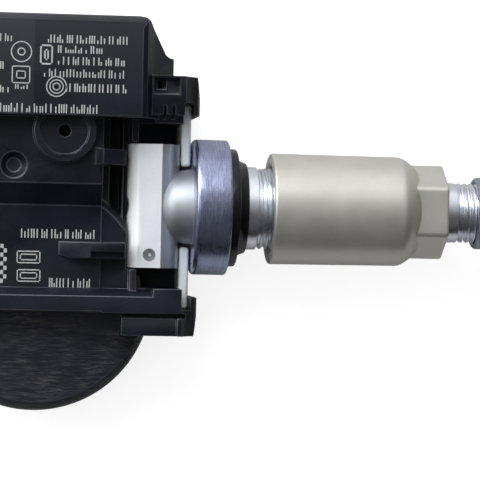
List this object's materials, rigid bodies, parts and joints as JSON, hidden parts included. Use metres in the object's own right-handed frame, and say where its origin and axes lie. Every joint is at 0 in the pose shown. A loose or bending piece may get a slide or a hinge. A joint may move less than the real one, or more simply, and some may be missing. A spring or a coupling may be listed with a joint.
{
  "type": "tyre pressure sensor",
  "caption": "Wheel-mounted tyre pressure sensor: moulded housing with battery lobe and a tilting clamp-in valve with collar, grommet, sleeve nut and cap.",
  "frame": {"origin": "centre of the grommet's outer face, the seat on the wheel rim, on the valve stem's axis", "axes": "+X out along the valve stem towards the cap, +Y towards the long edge with the top block, +Z out of the label side"},
  "size_m": [0.0801, 0.0506, 0.0182],
  "materials": {
    "housing_plastic": "moulded glass-filled plastic, fine matt grain",
    "resin": "cast resin, slightly glossy",
    "board_green": "solder mask over glass fibre",
    "cell_steel": "nickel-plated steel",
    "gasket_black": "moulded seal",
    "tab_nickel": "nickel strip",
    "chip_black": "moulded package",
    "ferrite": "sintered ferrite",
    "copper_wire": "enamelled copper wire",
    "antenna_metal": "plated copper alloy strip",
    "ceramic_part": "ceramic chip parts",
    "zinc_plate": "clear blue zinc plating",
    "stem_aluminium": "bright machined aluminium",
    "collar_anodised": "dark turned finish with fine lines",
    "grommet_rubber": "smooth moulded rubber",
    "core_brass": "turned brass",
    "seal_red": "moulded seal",
    "spring_steel": "spring wire",
    "nut_nickel": "warm satin nickel with fine turned lines",
    "cap_metal": "matt bluish grey"
  },
  "bodies": {
    "housing": {"housing_shell": "housing_plastic", "potting_compound": "resin", "circuit_board": "board_green", "battery_can": "cell_steel", "battery_lid": "cell_steel", "battery_gasket": "gasket_black", "battery_tab_positive": "tab_nickel", "battery_tab_negative": "tab_nickel", "sensor_chip": "chip_black", "port_seal": "gasket_black", "lf_coil_core": "ferrite", "lf_coil_winding": "copper_wire", "rf_antenna": "antenna_metal", "quartz_crystal": "cell_steel", "chip_capacitors": "ceramic_part", "retaining_plate": "zinc_plate"},
    "valve": {"valve_stem": "stem_aluminium", "support_collar": "collar_anodised", "rubber_grommet": "grommet_rubber", "core_plug": "core_brass", "core_barrel": "core_brass", "barrel_seal": "seal_red", "core_spring": "spring_steel"},
    "core_stem": {"core_pin": "core_brass", "core_cup": "gasket_black"},
    "nut": {"sleeve_nut": "nut_nickel"},
    "cap_lift": {"cap_seal": "gasket_black"},
    "cap": {"valve_cap": "cap_metal"}
  },
  "joints": [
    {"name": "valve_tilt", "type": "hinge", "parent": "housing", "child": "valve", "pos_m": [-0.01062, 0, 0], "axis": [0, -1, 0], "range_deg": [0, 20]},
    {"name": "core_press", "type": "slide", "parent": "valve", "child": "core_stem", "axis": [-1, 0, 0], "range_m": [0, 0.0012], "stiffness_N_per_m": 400, "springref_m": -0.002, "deforming": ["core_spring"]},
    {"name": "nut_travel", "type": "slide", "parent": "valve", "child": "nut", "axis": [1, 0, 0], "range_m": [-0.003, 0.003]},
    {"name": "cap_advance", "type": "slide", "parent": "valve", "child": "cap_lift", "axis": [1, 0, 0], "range_m": [0, 0.00635]},
    {"name": "cap_turn", "type": "hinge", "parent": "cap_lift", "child": "cap", "pos_m": [0.035, 0, 0], "axis": [1, 0, 0], "range_deg": [0, 2882]}
  ],
  "couplings": [
    {"joint": "cap_turn", "follows": "cap_advance", "rad_per_m": 7915.8}
  ]
}
